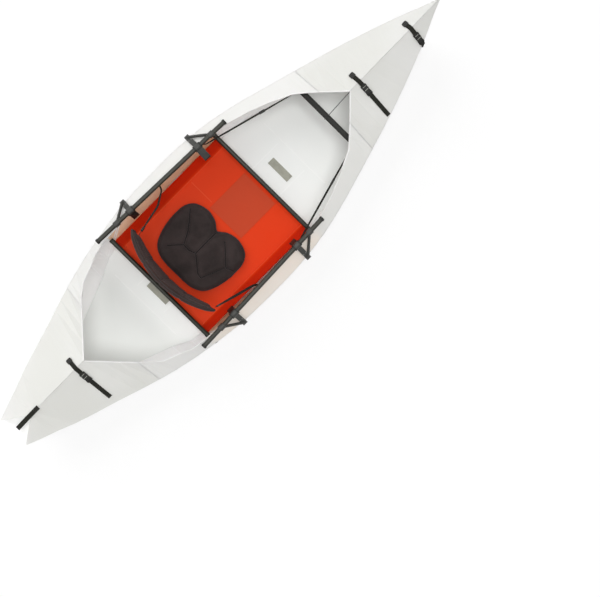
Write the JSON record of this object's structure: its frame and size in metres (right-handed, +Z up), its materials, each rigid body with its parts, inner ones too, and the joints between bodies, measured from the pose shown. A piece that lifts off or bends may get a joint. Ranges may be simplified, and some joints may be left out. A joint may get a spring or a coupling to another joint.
{
  "type": "folding kayak",
  "caption": "Open-cockpit kayak folded from one sheet of corrugated plastic, with floorboard, seat, side rails, footrest and buckled deck flaps.",
  "frame": {"origin": "under the middle of the hull's length, on the ground", "axes": "+X to the bow, +Y to port, +Z up"},
  "size_m": [2.743, 0.812, 0.388],
  "materials": {
    "hull_sheet": "translucent off-white corrugated polypropylene",
    "black_moulding": "satin black moulded plastic",
    "black_tube": "dark grey coated tube",
    "webbing": "woven black webbing",
    "floor_sheet": "red-orange corrugated plastic sheet",
    "floor_cover_sheet": "duller red sheet",
    "grey_loop": "grey loop fabric",
    "seat_fabric": "dark padded fabric",
    "foot_foam": "dark grey foam sleeve",
    "bolt_steel": "dark grey metal"
  },
  "bodies": {
    "root": {"backrest_strap_port": "webbing", "backrest_strap_starboard": "webbing", "bow_bumper": "black_moulding", "bracket_port_front": "black_moulding", "bracket_port_rear": "black_moulding", "bracket_starboard_front": "black_moulding", "bracket_starboard_rear": "black_moulding", "crossbar_front": "black_tube", "crossbar_rear": "black_tube", "deck_strip_port": "hull_sheet", "deck_strip_starboard": "hull_sheet", "floor_cover": "floor_cover_sheet", "floorboard": "floor_sheet", "foot_bolt_port_front": "bolt_steel", "foot_bolt_port_rear": "bolt_steel", "foot_bolt_starboard_front": "bolt_steel", "foot_bolt_starboard_rear": "bolt_steel", "footrest_strap_port": "webbing", "footrest_strap_starboard": "webbing", "footrest_tether": "webbing", "hull_bottom": "hull_sheet", "hull_side_port": "hull_sheet", "hull_side_starboard": "hull_sheet", "loop_patch_front": "grey_loop", "loop_patch_rear": "grey_loop", "rail_cap_port_front": "black_moulding", "rail_cap_port_rear": "black_moulding", "rail_cap_starboard_front": "black_moulding", "rail_cap_starboard_rear": "black_moulding", "rail_tube_port": "black_tube", "rail_tube_starboard": "black_tube", "seat_pad": "seat_fabric", "side_disc": "bolt_steel", "stern_bumper": "black_moulding", "stern_fold_panels": "hull_sheet"},
    "bow_flap_port": {"bow_deck_port": "hull_sheet", "bow_front_web_port": "webbing", "bow_rear_web_port": "webbing"},
    "bow_flap_starboard": {"bow_deck_starboard": "hull_sheet", "bow_front_buckle_female": "black_moulding", "bow_front_web_tail": "webbing", "bow_rear_buckle_female": "black_moulding", "bow_rear_web_tail": "webbing"},
    "stern_flap_port": {"stern_deck_port": "hull_sheet", "stern_web_port": "webbing", "stern_end_strap": "webbing"},
    "stern_flap_starboard": {"stern_deck_starboard": "hull_sheet", "stern_buckle_female": "black_moulding", "stern_web_tail": "webbing"},
    "bow_front_buckle": {"bow_front_buckle_male": "black_moulding"},
    "bow_rear_buckle": {"bow_rear_buckle_male": "black_moulding"},
    "stern_buckle": {"stern_buckle_male": "black_moulding"},
    "backrest": {"backrest": "seat_fabric", "strap_adjuster_port": "black_moulding", "strap_adjuster_starboard": "black_moulding"},
    "footrest": {"footrest_bar": "foot_foam"},
    "latch_port_front": {"latch_port_front": "black_moulding"},
    "latch_port_rear": {"latch_port_rear": "black_moulding"},
    "latch_starboard_front": {"latch_starboard_front": "black_moulding"},
    "latch_starboard_rear": {"latch_starboard_rear": "black_moulding"}
  },
  "joints": [
    {"name": "bow_flap_port_fold", "type": "hinge", "parent": "root", "child": "bow_flap_port", "pos_m": [1.04147, 0.1399, 0.23794], "axis": [-0.9109, 0.3466, -0.2239], "range_deg": [0, 90], "deforming": ["bow_front_web_port", "bow_rear_web_port"]},
    {"name": "bow_flap_starboard_fold", "type": "hinge", "parent": "root", "child": "bow_flap_starboard", "pos_m": [1.04147, -0.1399, 0.23794], "axis": [0.9109, 0.3466, 0.2239], "range_deg": [0, 90], "deforming": ["bow_front_web_port", "bow_rear_web_port", "bow_front_web_tail"]},
    {"name": "stern_flap_port_fold", "type": "hinge", "parent": "root", "child": "stern_flap_port", "pos_m": [-1.0593, 0.20008, 0.17108], "axis": [-0.9349, -0.3238, 0.1451], "range_deg": [0, 110], "deforming": ["stern_web_port", "stern_end_strap"]},
    {"name": "stern_flap_starboard_fold", "type": "hinge", "parent": "root", "child": "stern_flap_starboard", "pos_m": [-1.0593, -0.20008, 0.17108], "axis": [0.9349, -0.3238, -0.1451], "range_deg": [0, 110], "deforming": ["stern_web_port", "stern_end_strap"]},
    {"name": "bow_front_buckle_release", "type": "slide", "parent": "bow_flap_starboard", "child": "bow_front_buckle", "axis": [0, 0.8589, 0.5122], "range_m": [0, 0.025], "deforming": ["bow_front_web_port"]},
    {"name": "bow_rear_buckle_release", "type": "slide", "parent": "bow_flap_starboard", "child": "bow_rear_buckle", "axis": [0, 0.9296, 0.3685], "range_m": [0, 0.025], "deforming": ["bow_rear_web_port"]},
    {"name": "stern_buckle_release", "type": "slide", "parent": "stern_flap_starboard", "child": "stern_buckle", "axis": [0, 0.8937, 0.4486], "range_m": [0, 0.025], "deforming": ["stern_web_port"]},
    {"name": "latch_port_rear_turn", "type": "hinge", "parent": "root", "child": "latch_port_rear", "pos_m": [-0.27951, 0.3343, 0.21609], "axis": [-0.9994, 0.0333, 0], "range_deg": [-22, 48]},
    {"name": "latch_port_front_turn", "type": "hinge", "parent": "root", "child": "latch_port_front", "pos_m": [0.14483, 0.32017, 0.21609], "axis": [-0.9994, 0.0333, 0], "range_deg": [-85, 5]},
    {"name": "latch_starboard_rear_turn", "type": "hinge", "parent": "root", "child": "latch_starboard_rear", "pos_m": [-0.27951, -0.3343, 0.21609], "axis": [0.9994, 0.0333, 0], "range_deg": [-22, 40]},
    {"name": "latch_starboard_front_turn", "type": "hinge", "parent": "root", "child": "latch_starboard_front", "pos_m": [0.14483, -0.32017, 0.21609], "axis": [0.9994, 0.0333, 0], "range_deg": [-22, 63]},
    {"name": "backrest_recline", "type": "hinge", "parent": "root", "child": "backrest", "pos_m": [-0.4, 0, 0.025], "axis": [0, 1, 0], "range_deg": [-12, 35], "deforming": ["backrest_strap_port", "backrest_strap_starboard"]},
    {"name": "footrest_slide", "type": "slide", "parent": "root", "child": "footrest", "axis": [1, 0, 0], "range_m": [-0.2, 0.1], "deforming": ["footrest_strap_port", "footrest_strap_starboard", "footrest_tether"]}
  ]
}
